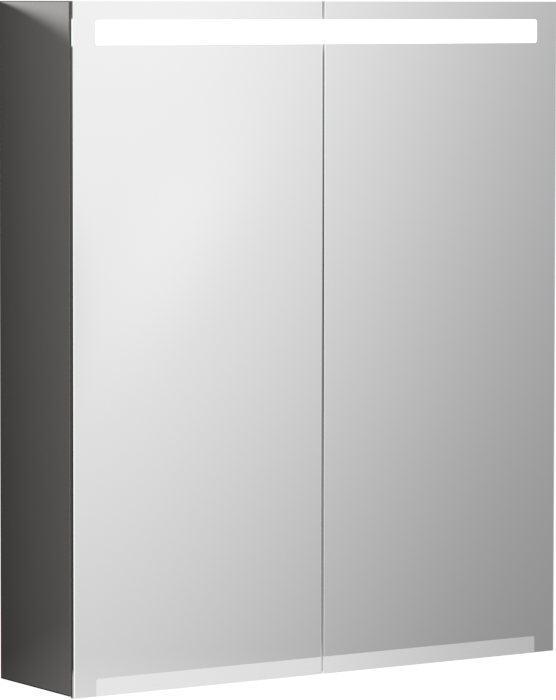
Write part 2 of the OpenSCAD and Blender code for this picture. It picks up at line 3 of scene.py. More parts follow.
import bpy
import numpy as np
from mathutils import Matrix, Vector


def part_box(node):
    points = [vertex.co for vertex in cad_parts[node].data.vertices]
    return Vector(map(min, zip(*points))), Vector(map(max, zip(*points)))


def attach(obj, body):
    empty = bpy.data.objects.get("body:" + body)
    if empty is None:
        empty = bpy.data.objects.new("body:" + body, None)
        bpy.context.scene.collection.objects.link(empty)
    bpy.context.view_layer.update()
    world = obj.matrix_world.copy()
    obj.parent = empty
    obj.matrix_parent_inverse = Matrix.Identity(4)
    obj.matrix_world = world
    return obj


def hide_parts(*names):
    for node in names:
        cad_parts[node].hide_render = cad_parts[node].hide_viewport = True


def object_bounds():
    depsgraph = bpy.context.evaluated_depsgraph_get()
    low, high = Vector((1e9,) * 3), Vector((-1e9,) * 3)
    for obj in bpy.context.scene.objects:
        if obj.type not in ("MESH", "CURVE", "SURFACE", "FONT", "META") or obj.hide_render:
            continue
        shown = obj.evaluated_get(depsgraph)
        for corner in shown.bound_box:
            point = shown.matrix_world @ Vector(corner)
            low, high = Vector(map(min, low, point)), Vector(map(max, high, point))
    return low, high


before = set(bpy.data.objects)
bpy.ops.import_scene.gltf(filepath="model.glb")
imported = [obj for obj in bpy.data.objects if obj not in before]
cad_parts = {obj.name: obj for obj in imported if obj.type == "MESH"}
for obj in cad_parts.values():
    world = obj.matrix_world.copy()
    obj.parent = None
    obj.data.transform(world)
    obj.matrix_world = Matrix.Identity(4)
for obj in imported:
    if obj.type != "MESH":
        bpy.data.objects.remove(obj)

cad_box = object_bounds()
low, high = (np.array(corner) for corner in cad_box)


# ---------------------------------------------------------------------------
# The camera. A long lens looks at the mirrors from the left, level with the top of the carcass.
# A little shift takes up part of the tilt, so the uprights stay nearly upright.

camera_place = (-2.4752, -3.8621, 0.0438)
camera_heading = 33.090
camera_tilt = 3.142
camera_roll = 0.056
lens_mm = 221.67
# The line of sight passes above the middle of the frame, by this rise on this height.
frame_height = 700
rise = 110
far_limit = 100

camera = bpy.data.objects.new("studio_camera", bpy.data.cameras.new("studio_camera"))
bpy.context.scene.collection.objects.link(camera)
camera.location = camera_place
camera.rotation_euler = [math.radians(a) for a in (90 - camera_tilt, -camera_roll, -camera_heading)]
camera.data.sensor_width = 36
camera.data.lens = lens_mm
camera.data.shift_y = -rise / frame_height
camera.data.clip_end = far_limit
bpy.context.scene.camera = camera
bpy.context.scene.view_settings.view_transform = "Standard"
# With a door open, the back mirror and the closed door's inner mirror face each other.
bpy.context.scene.cycles.max_bounces = 24
bpy.context.scene.cycles.glossy_bounces = 20


# ---------------------------------------------------------------------------
# The floor. Pale and matt, 1.2 m below the cabinet, and wide enough to reach to the horizon.
# It is clear from below, so that the cabinet can be looked at from under it too.

def linear(hex_colour):
    """An sRGB hex colour as linear red, green, blue and full alpha."""
    srgb = np.array([int(hex_colour[i:i + 2], 16) / 255 for i in (1, 3, 5)])
    rgb = np.where(srgb <= 0.04045, srgb / 12.92, ((srgb + 0.055) / 1.055) ** 2.4)
    return (*rgb, 1.0)


def put(tree, kind, to=None, stops=(), **settings):
    """Adds one node, with its settings and links, and returns it.

    A setting is a property or an input socket, named with underscores for spaces, or in0, in1 ... by
    its place. A node or a socket given to an input is linked to it. The node's own output goes to
    the socket given as to. Stops are (place, brightness) pairs of a ramp, places rising from 0 to 1."""
    node = tree.nodes.new("ShaderNode" + kind)
    for name, value in settings.items():
        if name[:2] == "in" and name[2:].isdigit():
            socket = node.inputs[int(name[2:])]
        elif name.replace("_", " ") in node.inputs:
            socket = node.inputs[name.replace("_", " ")]
        else:
            setattr(node, name, value)
            continue
        if isinstance(value, bpy.types.Node):
            value = next(output for output in value.outputs if output.enabled)
        if isinstance(value, bpy.types.NodeSocket):
            tree.links.new(value, socket)
        else:
            socket.default_value = value
    for k, (place, brightness) in enumerate(stops):
        made = node.color_ramp.elements
        stop = made[k] if k < 2 else made.new(place)
        stop.position = place
        stop.color = (brightness, brightness, brightness, 1)
    if to:
        tree.links.new(next(output for output in node.outputs if output.enabled), to)
    return node


def finish(name, kind, **settings):
    """A new material with one shader, returned with its tree, the shader and Object coordinates."""
    made = bpy.data.materials.new(name)
    made.use_nodes = True
    tree = made.node_tree
    tree.nodes.clear()
    shader = put(tree, kind, **settings)
    put(tree, "OutputMaterial", Surface=shader)
    return made, tree, shader, put(tree, "TexCoord").outputs["Object"]


def surface(name, points, faces):
    """A mesh object at the origin from an array of points and a list of faces."""
    mesh = bpy.data.meshes.new(name)
    mesh.from_pydata(np.asarray(points).tolist(), [], faces)
    made = bpy.data.objects.new(name, mesh)
    bpy.context.scene.collection.objects.link(made)
    return made


def flat_card(name, centre, across, up, half_across, half_up):
    """A rectangle, centre + s * across + t * up, with a UV map of (s, t) in metres."""
    corners = np.array([(-1, -1), (1, -1), (1, 1), (-1, 1)]) * (half_across, half_up)
    card = surface(name, centre + corners[:, :1] * across + corners[:, 1:] * up, [(0, 1, 2, 3)])
    card.data.uv_layers.new(name="metres").data.foreach_set("uv", corners.ravel())
    return card


def seen_rays(tree):
    """1 for what the camera, the mirrors and the glass see, 0 for the light that falls on things."""
    path = put(tree, "LightPath").outputs
    either = put(tree, "Math", operation="MAXIMUM", in0=path["Is Camera Ray"], in1=path["Is Glossy Ray"])
    return put(tree, "Math", operation="MAXIMUM", in0=either, in1=path["Is Transmission Ray"])


# Matt white paint; a little light of its own, for what is seen only, brings it up to the room's white.
x_way, y_way, z_way = np.eye(3)
floor_drop = 1.2
floor_half = 30
floor_lift = 0.42
floor_centre = np.array((0, 0, low[2] - floor_drop))
floor = flat_card("studio_floor", floor_centre, x_way, y_way, floor_half, floor_half)
floor_white, tree, facing, _ = finish("matt_white_floor", "MixShader")
tree.links.new(put(tree, "NewGeometry").outputs["Backfacing"], facing.inputs["Fac"])
whole = put(tree, "AddShader", to=facing.inputs[1])
put(tree, "BsdfTransparent", to=facing.inputs[2])
put(tree, "BsdfDiffuse", Color=linear("#fdfdfd"), to=whole.inputs[0])
lift = put(tree, "Math", operation="MULTIPLY", in0=seen_rays(tree), in1=floor_lift)
put(tree, "Emission", Strength=lift, to=whole.inputs[1])
floor.data.materials.append(floor_white)


# ---------------------------------------------------------------------------
# The room and its lamps. The white room lights everything evenly and is seen as plain white.
# Three soft square lamps, which no mirror shows, add a main light from the upper left, a fill
# from the right and a little light from behind.

room_light = 0.62
room = bpy.data.worlds.new("white_room")
bpy.context.scene.world = room
room.use_nodes = True
tree = room.node_tree
tree.nodes.clear()
level = put(tree, "MapRange", Value=seen_rays(tree), To_Min=room_light, To_Max=1.0)
air = put(tree, "Background", Color=linear("#ffffff"), Strength=level)
put(tree, "OutputWorld", Surface=air)

middle = Vector((low + high) / 2)
for name, place, size, watts in (
        ("key_softbox", (-1.6, -2.6, 2.6), 2.0, 62),
        ("fill_softbox", (2.8, -2.2, 0.6), 2.4, 26),
        ("rear_softbox", (0.8, 3.0, 1.6), 2.4, 30)):
    lamp = bpy.data.objects.new(name, bpy.data.lights.new(name, "AREA"))
    bpy.context.scene.collection.objects.link(lamp)
    lamp.location = place
    lamp.rotation_euler = (lamp.location - middle).to_track_quat("Z", "Y").to_euler()
    lamp.data.shape = "SQUARE"
    lamp.data.size = size
    lamp.data.energy = watts
    lamp.visible_glossy = False


# ---------------------------------------------------------------------------
# The glowing cloths, whose painted light and shade the mirrors show as a painted reflection. One
# hangs in a wide arc in front of the cabinet, and a second one lies on the floor inside the arc.
# Only reflections see them.

cloth_r = 3.0
cloth_clear = 0.02
cloth_low, cloth_high = low[2] - floor_drop + cloth_clear, 1.5
cloth_end = 100
cloth_strips = 100


def arc_cloth(name, radius, degrees, z0, z1):
    """Part of an upright cylinder, x = r sin a, y = -r cos a, with a UV map of (a in degrees, z)."""
    a = np.radians(degrees)
    ring = np.stack([radius * np.sin(a), -radius * np.cos(a), np.zeros_like(a)], 1)
    points = np.concatenate([ring + (0, 0, z0), ring + (0, 0, z1)])
    i = np.arange(len(a) - 1)
    faces = np.stack([i, i + 1, i + 1 + len(a), i + len(a)], 1)
    made = surface(name, points, faces.tolist())
    spots = np.stack([np.tile(degrees, 2), np.repeat((z0, z1), len(a))], 1)
    made.data.uv_layers.new(name="degrees_and_metres").data.foreach_set("uv", spots[faces.ravel()].ravel())
    return made


def only_reflected(card):
    """Leaves a stage card to reflections: the camera and the light pass through it."""
    card.visible_camera = False
    card.visible_diffuse = False
    card.visible_transmission = False
    card.visible_shadow = False


def painted_reflection_tone(tree, degrees, height):
    """The cloth's painted light at so many degrees from the middle, shown in the mirrors as a painted
    reflection; the pattern leans 4 degrees a metre.

    It is mid-grey in the middle, pale about 24 degrees to each side, darkest about 58 degrees
    to each side, and pale again at its ends."""
    cloth_slant = -4.0
    first, last = -6, 102
    aside = put(tree, "Math", operation="ABSOLUTE", in0=degrees)
    leant = put(tree, "Math", operation="MULTIPLY_ADD", in0=height, in1=cloth_slant, in2=aside)
    along = put(tree, "MapRange", Value=leant, From_Min=first, From_Max=last)
    tones = put(tree, "ValToRGB", Fac=along, stops=[((s - first) / (last - first), tone) for s, tone in (
        (6, 0.52), (21, 0.927), (26.5, 0.927), (45.5, 0.392), (58, 0.20), (72, 0.34), (102, 1.0))])
    tones.color_ramp.interpolation = "EASE"
    return tones


cloth_turn = np.linspace(-cloth_end, cloth_end, cloth_strips + 1)
cloth = arc_cloth("painted_reflection_cloth", cloth_r, cloth_turn, cloth_low, cloth_high)
only_reflected(cloth)
cloth_painted_reflection, tree, glow, _ = finish("soft_painted_reflection_cloth", "Emission")
at = put(tree, "SeparateXYZ", Vector=put(tree, "UVMap", uv_map="degrees_and_metres"))
around = painted_reflection_tone(tree, at.outputs[0], at.outputs[1])
# Painted shade also makes it a quarter duller about a metre below the top of the cabinet.
first, last = -1.85, 0.04
along = put(tree, "MapRange", Value=at.outputs[1], From_Min=first, From_Max=last)
upward = put(tree, "ValToRGB", Fac=along, stops=[((z - first) / (last - first), tone) for z, tone in (
    (-1.85, 1.0), (-1.3, 0.9), (-1.06, 0.73), (-0.6, 0.875), (-0.3, 0.95), (0.04, 1.0))])
# An upright strip, 12 degrees to the left, keeps its painted light from top to bottom, without that
# painted shade.
unshaded_turn = -12.0
unshaded_half, unshaded_fade = 6, 14
from_unshaded = put(tree, "Math", operation="SUBTRACT", in0=at.outputs[0], in1=unshaded_turn)
from_unshaded = put(tree, "Math", operation="ABSOLUTE", in0=from_unshaded)
flat_part = put(tree, "MapRange", interpolation_type="SMOOTHSTEP", Value=from_unshaded, From_Min=unshaded_half,
    From_Max=unshaded_fade)
fall = put(tree, "Mix", data_type="FLOAT", Factor=flat_part, in2=1.0, in3=upward)
tone = put(tree, "Math", operation="MULTIPLY", in0=around, in1=fall)
# Two soft patches lie beside each other: a pale painted pool of light that leans to the right, and a
# dull upright patch of painted shade.
for turn, height, lean, half_turn, half_height, change in (
        (27.4, -0.36, 9, 3.0, 0.33, 1.05),
        (22.8, -0.47, 0, 2.3, 0.30, 0.86)):
    leant = put(tree, "Math", operation="MULTIPLY_ADD", in0=at.outputs[1], in1=-lean, in2=at.outputs[0])
    place = put(tree, "CombineXYZ", X=leant, Y=at.outputs[1])
    place = put(tree, "Mapping", vector_type="TEXTURE", Vector=place, Scale=(half_turn, half_height, 1),
        Location=(turn - lean * height, height, 0))
    away = put(tree, "VectorMath", operation="LENGTH", in0=place)
    patch = put(tree, "MapRange", interpolation_type="SMOOTHSTEP", Value=away, From_Min=1, From_Max=0,
        To_Min=1, To_Max=change)
    tone = put(tree, "Math", operation="MULTIPLY", in0=tone, in1=patch)
tree.links.new(tone.outputs[0], glow.inputs["Strength"])
cloth.data.materials.append(cloth_painted_reflection)

# The cloth on the floor has the other's painted light where they meet, and an even painted shadow
# under the cabinet.
painted_shade_under_cabinet = 0.55
even_r = 0.3
cloth_centre = np.array((0, 0, cloth_low))
floor_cloth = flat_card("painted_reflection_floor_cloth", cloth_centre, x_way, y_way, cloth_r, cloth_r)
only_reflected(floor_cloth)
laid_painted_reflection, tree, glow, _ = finish("laid_painted_reflection_cloth", "Emission")
metres = put(tree, "UVMap", uv_map="metres")
at = put(tree, "SeparateXYZ", Vector=metres)
ahead = put(tree, "Math", operation="MULTIPLY", in0=at.outputs[1], in1=-1.0)
turned = put(tree, "Math", operation="ARCTAN2", in0=at.outputs[0], in1=ahead)
turned = put(tree, "Math", operation="DEGREES", in0=turned)
away = put(tree, "VectorMath", operation="LENGTH", in0=metres)
share = put(tree, "MapRange", Value=away, From_Min=even_r, From_Max=cloth_r)
put(tree, "Mix", data_type="FLOAT", Factor=share, in2=painted_shade_under_cabinet, in3=painted_reflection_tone(tree, turned, cloth_low),
    to=glow.inputs["Strength"])
floor_cloth.data.materials.append(laid_painted_reflection)


# ---------------------------------------------------------------------------
# The wall behind, as three boards in its plane that only reflections see. One stands beyond each
# side and shows in its gloss, and one stands below and shows in the mirrors of an open door.

stand_off = 0.002
board_reach = 0.90
board_drop = high[2] - cloth_low
board_lit = 4.13

# The cabinet's shadow on it starts sharp at the top corner and softens as it leaves the side. At a
# distance x from the side its edge is about x * (0.25 + 1.1 x) below the top.
edge_slope, edge_curve = 0.25, 1.1
edge_lit, edge_dark = 0.3, 1.735
shadow_board, tree, glow, _ = finish("wall_in_shadow", "Emission", Color=linear("#fffcfa"))
at = put(tree, "SeparateXYZ", Vector=put(tree, "UVMap", uv_map="metres"))
out = put(tree, "Math", operation="ADD", in0=at.outputs[0], in1=board_reach / 2)
drop = put(tree, "Math", operation="SUBTRACT", in0=board_drop / 2, in1=at.outputs[1])
bend = put(tree, "Math", operation="MULTIPLY_ADD", in0=out, in1=edge_curve, in2=edge_slope)
line = put(tree, "Math", operation="MULTIPLY", in0=out, in1=bend)
share = put(tree, "Math", operation="DIVIDE", in0=drop, in1=line)
lit = put(tree, "MapRange", interpolation_type="SMOOTHSTEP", Value=share, From_Min=edge_dark,
    From_Max=edge_lit)
# In the shadow it is darkest against the side, and grows a third darker on the way down.
fade_drop, fade_left, shadow_depth = 0.7, 0.667, 0.25
along = put(tree, "Math", operation="DIVIDE", in0=out, in1=board_reach)
shaded = put(tree, "ValToRGB", Fac=along, stops=[(reach / board_reach, tone) for reach, tone in (
    (0.0, 0.593), (0.02, 0.767), (0.04, 0.955), (0.06, 1.10), (0.08, 1.264), (0.15, 1.40), (0.40, 1.30),
    (0.90, 1.20))])
fade = put(tree, "MapRange", Value=drop, From_Min=0, From_Max=fade_drop, To_Min=1, To_Max=fade_left)
deep = put(tree, "Math", operation="MULTIPLY", in0=shaded, in1=fade)
deep = put(tree, "Math", operation="SUBTRACT", in0=deep, in1=shadow_depth)
# Near the foot of the cabinet the shadow thins out again, sooner where it is farther from the side.
foot_slope, foot_from, foot_to, foot_lift = 0.5, 0.68, 0.785, 0.52
foot = put(tree, "Math", operation="MULTIPLY_ADD", in0=out, in1=foot_slope, in2=drop)
thin = put(tree, "MapRange", Value=foot, From_Min=foot_from, From_Max=foot_to, To_Min=0, To_Max=foot_lift)
deep = put(tree, "Math", operation="ADD", in0=deep, in1=thin)
put(tree, "Mix", data_type="FLOAT", Factor=lit, in2=deep, in3=board_lit, to=glow.inputs["Strength"])
for side, sign in (("left", -1), ("right", 1)):
    centre = np.array((sign * (high[0] + board_reach / 2), high[1] + stand_off, high[2] - board_drop / 2))
    board = flat_card(side + "_shadow_board", centre, sign * x_way, z_way, board_reach / 2, board_drop / 2)
    board.data.materials.append(shadow_board)
    only_reflected(board)

# Under the cabinet the shadow is soft and fades out over about half a metre.
below = low[2] - cloth_low
half_shadow, half_lit, half_reach = 0.62, 0.90, 0.45
wall_in_half_shadow, tree, glow, _ = finish("wall_in_half_shadow", "Emission")
at = put(tree, "SeparateXYZ", Vector=put(tree, "UVMap", uv_map="metres"))
put(tree, "MapRange", interpolation_type="SMOOTHSTEP", Value=at.outputs[1], From_Min=below / 2,
    From_Max=below / 2 - half_reach, To_Min=half_shadow, To_Max=half_lit, to=glow.inputs["Strength"])
centre = np.array((0, high[1] + stand_off, low[2] - below / 2))
board = flat_card("low_shadow_board", centre, x_way, z_way, high[0], below / 2)
board.data.materials.append(wall_in_half_shadow)
only_reflected(board)


# ---------------------------------------------------------------------------
# Carcass boards. Chipboard faced with a silver-grey melamine foil, grooved for the back and
# bored for the shelf pegs; the sides are screwed to the top and bottom through cast blocks.

MM = 0.001


def dress(material, *names):
    """Gives CAD nodes this material in place of their own."""
    for name in names:
        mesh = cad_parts[name].data
        mesh.materials.clear()
        mesh.materials.append(material)


# A noise texture hardly leaves this span, so it is what is mapped to a range of roughness.
noise_span = {"From_Min": 0.3, "From_Max": 0.7}
# Melamine foil: a dull even sheen over a fine pearl print. A grain that is too fine to show is
# drawn 0.3 to 1 mm wide, here and on the skins below.
melamine, tree, shader, spot = finish("silver_grey_melamine", "BsdfPrincipled")
pearl = put(tree, "TexNoise", Vector=spot, Scale=1 / (1.2 * MM), Detail=3.0)
put(tree, "Mix", data_type="RGBA", Factor=pearl, in6=linear("#a9abaa"), in7=linear("#bbbdbc"),
    to=shader.inputs["Base Color"])
sheen = put(tree, "TexNoise", Vector=spot, Scale=1 / (6 * MM))
put(tree, "MapRange", Value=sheen, **noise_span, To_Min=0.36, To_Max=0.48, to=shader.inputs["Roughness"])
press = put(tree, "TexNoise", Vector=spot, Scale=1 / (0.8 * MM))
put(tree, "Bump", Height=press, Distance=0.01 * MM, to=shader.inputs["Normal"])
dress(melamine, "left_side_panel", "right_side_panel", "top_panel", "bottom_panel")


# ---------------------------------------------------------------------------
# Side cladding. A 2 mm aluminium sheet lacquered in gloss anthracite covers each outer side,
# glued to the board. Its edges are rounded over a little and sealed with dark lacquer.

def slab(name, outline, inset, span, axes, depths, sides, cuts):
    """A plate: an outline in two directions u and v, pushed along w from span[0] to span[1].

    At each end that has a depth above 0, the face's edges are cut off slantwise over that depth,
    and each edge is drawn in by its own inset. A corner then moves by the x that solves
    m1 . x = c1 and m2 . x = c2, where m are the inward normals of its two edges and c their
    insets. The faces take material 0; each edge's flat side and its cut take the materials that
    sides and cuts give."""
    p = np.array(outline, float)
    n = len(p)
    c_next = np.broadcast_to(np.array(inset, float), n)
    c_prev = np.roll(c_next, 1)
    turning = np.sign(np.sum(p[:, 0] * np.roll(p[:, 1], -1) - np.roll(p[:, 0], -1) * p[:, 1]))
    run = np.roll(p, -1, 0) - p
    run /= np.linalg.norm(run, axis=1, keepdims=True) * turning
    m_next = np.stack([-run[:, 1], run[:, 0]], 1)
    m_prev = np.roll(m_next, 1, 0)
    cross = m_prev[:, 0] * m_next[:, 1] - m_prev[:, 1] * m_next[:, 0]
    straight = np.abs(cross) < 1e-6
    safe = np.where(straight, 1, cross)
    shift = np.stack([(c_prev * m_next[:, 1] - c_next * m_prev[:, 1]) / safe,
        (c_next * m_prev[:, 0] - c_prev * m_next[:, 0]) / safe], 1)
    drawn = p + np.where(straight[:, None], m_next * c_next[:, None], shift)
    sides = np.broadcast_to(sides, n)
    cuts = np.where(c_next > 0, np.broadcast_to(cuts, n), sides)
    rings = [(p, span[0] + depths[0]), (p, span[1] - depths[1])]
    kinds = [sides]
    if depths[0] > 0:
        rings.insert(0, (drawn, span[0]))
        kinds.insert(0, cuts)
    if depths[1] > 0:
        rings.append((drawn, span[1]))
        kinds.append(cuts)
    points = np.zeros((n * len(rings), 3))
    points[:, list(axes)] = np.concatenate([np.column_stack([ring, np.full(n, w)]) for ring, w in rings])
    i = np.arange(n)
    j = (i + 1) % n
    band = np.stack([i, j, j + n, i + n], 1)
    bands = np.concatenate([band + n * k for k in range(len(rings) - 1)])
    faces = [i[::-1].tolist(), (i + n * (len(rings) - 1)).tolist()] + bands.tolist()
    handed = np.linalg.det(np.eye(3)[list(axes)])
    if turning * handed < 0:
        faces = [face[::-1] for face in faces]
    made = surface(name, points, faces)
    made.data.polygons.foreach_set("material_index", np.concatenate([(0, 0)] + kinds))
    return made


def box_outline(u0, u1, v0, v1):
    """A rectangle's corners. Its edges are the low v, high u, high v and low u sides, in that order."""
    return [(u0, v0), (u1, v0), (u1, v1), (u0, v1)]


# Gloss lacquer on sheet metal: near black-grey, mirror-like at a slant, with a faint ripple.
anthracite, tree, shader, spot = finish("anthracite_gloss_lacquer", "BsdfPrincipled",
    Base_Color=linear("#333231"), IOR=1.5)
cloud = put(tree, "TexNoise", Vector=spot, Scale=1 / (25 * MM))
put(tree, "MapRange", Value=cloud, **noise_span, To_Min=0.05, To_Max=0.08, to=shader.inputs["Roughness"])
ripple = put(tree, "TexNoise", Vector=spot, Scale=1 / (9 * MM), Detail=1.0)
put(tree, "Bump", Height=ripple, Distance=0.002 * MM, to=shader.inputs["Normal"])
# The front edge: the same lacquer, paler, and the paler colour is a painted highlight along the edge.
painted_highlight_lacquer, tree, shader, spot = finish("painted_highlight_lacquer_edge", "BsdfPrincipled",
    Base_Color=linear("#737370"), Roughness=0.3, IOR=1.5)
spray = put(tree, "TexNoise", Vector=spot, Scale=1 / (3 * MM))
put(tree, "Bump", Height=spray, Distance=0.004 * MM, to=shader.inputs["Normal"])
# Sealed edges: matt black, so that the sheet ends in a thin dark line.
sealed_edge, tree, shader, spot = finish("black_sealed_edge", "BsdfPrincipled",
    Base_Color=linear("#0e0e0e"), Roughness=0.8, Specular_IOR_Level=0.1)
brushed_on = put(tree, "TexNoise", Vector=spot, Scale=1 / (2 * MM))
put(tree, "Bump", Height=brushed_on, Distance=0.01 * MM, to=shader.inputs["Normal"])

# Edges in the order bottom, back, top, front. Only the front one takes material 1, the lacquer with
# the painted highlight.
round_over = 0.4 * MM
rounds = (1.3 * MM, 1.0 * MM, 0.7 * MM, 0.25 * MM)
edge_kinds = (2, 2, 2, 1)
for side in ("left", "right"):
    c0, c1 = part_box(side + "_side_cladding")
    cladding = slab(side + "_gloss_side", box_outline(c0.y, c1.y, c0.z, c1.z), rounds, (c0.x, c1.x),
        (1, 2, 0), (round_over, round_over), edge_kinds, edge_kinds)
    for material in (anthracite, painted_highlight_lacquer, sealed_edge):
        cladding.data.materials.append(material)
    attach(cladding, "carcass")
    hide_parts(side + "_side_cladding")


# ---------------------------------------------------------------------------
# Back board, back mirror, corner blocks and screws. The board is pressed hardboard in grooves, and
# the mirror is glued to it. The blocks are die-cast zinc, with two countersunk screws in each.

# Pressed hardboard: dull brown, with short fibres of two near shades.
hardboard, tree, shader, spot = finish("pressed_hardboard", "BsdfPrincipled", Roughness=0.75)
fibres = put(tree, "TexNoise", Vector=spot, Scale=1 / (1.5 * MM), Detail=6.0, Roughness=0.7)
put(tree, "Mix", data_type="RGBA", Factor=fibres, in6=linear("#a08f78"), in7=linear("#b7a892"),
    to=shader.inputs["Base Color"])
put(tree, "Bump", Height=fibres, Distance=0.06 * MM, to=shader.inputs["Normal"])
dress(hardboard, "back_board")

# Silvered float glass: clear and colourless over silver, so nearly all the light comes back. The
# long slow wave is the one that float glass keeps from the tin bath.
silvered, tree, shader, spot = finish("silvered_float_glass", "BsdfPrincipled",
    Base_Color=linear("#f8f8f8"), Metallic=1.0, Roughness=0.0)
wave = put(tree, "TexNoise", Vector=spot, Scale=1 / (180 * MM), Detail=0.0)
put(tree, "Bump", Height=wave, Distance=0.004 * MM, to=shader.inputs["Normal"])
dress(silvered, "back_mirror")

# Die-cast zinc with a satin nickel plate: soft highlights over a fine cast grain.
cast_zinc, tree, shader, spot = finish("nickelled_cast_zinc", "BsdfPrincipled",
    Base_Color=linear("#c3c2bd"), Metallic=1.0)
patches = put(tree, "TexNoise", Vector=spot, Scale=1 / (2 * MM))
put(tree, "MapRange", Value=patches, **noise_span, To_Min=0.26, To_Max=0.38, to=shader.inputs["Roughness"])
grain = put(tree, "TexNoise", Vector=spot, Scale=1 / (0.7 * MM), Detail=4.0)
put(tree, "Bump", Height=grain, Distance=0.015 * MM, to=shader.inputs["Normal"])
dress(cast_zinc, "corner_blocks")

# Bright zinc-plated steel, turned or stamped: a clean shine, a little uneven from the bath.
plated_steel, tree, shader, spot = finish("zinc_plated_steel", "BsdfPrincipled",
    Base_Color=linear("#d3d5d6"), Metallic=1.0)
bath = put(tree, "TexNoise", Vector=spot, Scale=1 / (1.5 * MM))
put(tree, "MapRange", Value=bath, **noise_span, To_Min=0.16, To_Max=0.26, to=shader.inputs["Roughness"])
dress(plated_steel, "corner_screws")


# ---------------------------------------------------------------------------
# Wall rail and hanger. Two anodised aluminium profiles: the rail sits on the wall with its lip up,
# and the hanger, screwed under the top panel, hooks over it.

# Anodised aluminium: a silver sheen, with die lines about 1 mm apart that run from side to side.
anodised, tree, shader, spot = finish("anodised_aluminium", "BsdfPrincipled",
    Base_Color=linear("#c9cbcd"), Metallic=1.0)
pushed = put(tree, "Mapping", Vector=spot, Scale=(0.004 / MM, 0.9 / MM, 0.9 / MM))
die_lines = put(tree, "TexNoise", Vector=pushed, Scale=1.0, Detail=3.0)
put(tree, "MapRange", Value=die_lines, **noise_span, To_Min=0.28, To_Max=0.42, to=shader.inputs["Roughness"])
put(tree, "Bump", Height=die_lines, Distance=0.006 * MM, to=shader.inputs["Normal"])
dress(anodised, "wall_rail", "hanger")
dress(plated_steel, "hanger_screws")


# ---------------------------------------------------------------------------
# Lamp. An anodised channel with two end caps holds a strip of light diodes on a white board,
# behind an opal cover. It lights the band in the doors from behind.

dress(anodised, "lamp_tray", "lamp_end_caps")

# White solder mask: a thin hard paint over the copper tracks, which stand up a little under it.
solder_mask, tree, shader, spot = finish("white_solder_mask", "BsdfPrincipled",
    Base_Color=linear("#f3f3ee"), Roughness=0.35)
tracks = put(tree, "TexNoise", Vector=spot, Scale=1 / (1.0 * MM))
put(tree, "Bump", Height=tracks, Distance=0.01 * MM, to=shader.inputs["Normal"])
dress(solder_mask, "led_board")

# Phosphor cast over the diodes: yellow grains in clear resin, lit from under.
phosphor, tree, shader, spot = finish("lit_phosphor", "BsdfPrincipled", Roughness=0.3,
    Emission_Color=linear("#fff6dc"), Emission_Strength=1.2)
grains = put(tree, "TexNoise", Vector=spot, Scale=1 / (0.3 * MM))
put(tree, "Mix", data_type="RGBA", Factor=grains, in6=linear("#f2d97a"), in7=linear("#faeaa4"),
    to=shader.inputs["Base Color"])
dress(phosphor, "led_chips")

# Opal acrylic in front of the diodes: evenly lit, satin on the outside.
opal, tree, shader, spot = finish("lit_opal_acrylic", "BsdfPrincipled", Base_Color=linear("#d9d9d8"),
    Roughness=0.5, Emission_Color=linear("#ffffff"), Emission_Strength=0.75)
satin_skin = put(tree, "TexNoise", Vector=spot, Scale=1 / (0.8 * MM))
put(tree, "Bump", Height=satin_skin, Distance=0.01 * MM, to=shader.inputs["Normal"])
dress(opal, "lamp_diffuser")


# ---------------------------------------------------------------------------
# Wiring, socket and switch. A driver and a terminal block lie on an anodised cover sheet, joined
# by PVC leads; the socket and the rocker switch are moulded and snap in from below.

dress(anodised, "electrics_cover", "cover_angles")

# Moulded white plastic: a fine spark texture from the tool, with soft highlights.
moulded, tree, shader, spot = finish("moulded_white_plastic", "BsdfPrincipled",
    Base_Color=linear("#e9e9e6"), IOR=1.5)
cooling = put(tree, "TexNoise", Vector=spot, Scale=1 / (4 * MM))
put(tree, "MapRange", Value=cooling, **noise_span, To_Min=0.26, To_Max=0.36, to=shader.inputs["Roughness"])
spark = put(tree, "TexNoise", Vector=spot, Scale=1 / (0.6 * MM), Detail=3.0)
put(tree, "Bump", Height=spark, Distance=0.01 * MM, to=shader.inputs["Normal"])
dress(moulded, "led_driver", "terminal_block", "socket_plate", "socket_insert", "switch_frame",
    "switch_rocker")

# Soft PVC sheath: dull white, with a slightly uneven drawn surface.
sheath, tree, shader, spot = finish("pvc_cable_sheath", "BsdfPrincipled", Base_Color=linear("#e2e2de"),
    Roughness=0.5)
drawn_skin = put(tree, "TexNoise", Vector=spot, Scale=1 / (2 * MM))
put(tree, "Bump", Height=drawn_skin, Distance=0.03 * MM, to=shader.inputs["Normal"])
dress(sheath, "driver_lead", "lamp_lead", "outlet_lead")

# Black rubber: matt, with a fine talc bloom from the mould.
rubber, tree, shader, spot = finish("black_grommet_rubber", "BsdfPrincipled", Roughness=0.7)
bloom = put(tree, "TexNoise", Vector=spot, Scale=1 / (0.9 * MM))
put(tree, "Mix", data_type="RGBA", Factor=bloom, in6=linear("#222222"), in7=linear("#2c2c2c"),
    to=shader.inputs["Base Color"])
put(tree, "Bump", Height=bloom, Distance=0.03 * MM, to=shader.inputs["Normal"])
dress(rubber, "cable_grommet")

# Turned brass: bright, with fine tool marks.
brass, tree, shader, spot = finish("turned_brass", "BsdfPrincipled", Base_Color=linear("#d8b65f"),
    Metallic=1.0, Roughness=0.22)
tool_marks = put(tree, "TexNoise", Vector=spot, Scale=1 / (0.5 * MM))
put(tree, "Bump", Height=tool_marks, Distance=0.005 * MM, to=shader.inputs["Normal"])
dress(brass, "socket_contacts")
dress(plated_steel, "earth_clips")


# ---------------------------------------------------------------------------
# Shelves and their supports. The shelves are 6 mm float glass with ground edges, laid loose
# on chromed pegs that push into the rows of holes.

# Float glass: clear through its face, with the same slow wave as the mirrors.
clear_glass, tree, shader, spot = finish("float_glass", "BsdfPrincipled", Base_Color=linear("#f4fbf8"),
    Roughness=0.0, IOR=1.52, Transmission_Weight=1.0)
shelf_wave = put(tree, "TexNoise", Vector=spot, Scale=1 / (180 * MM), Detail=0.0)
put(tree, "Bump", Height=shelf_wave, Distance=0.004 * MM, to=shader.inputs["Normal"])
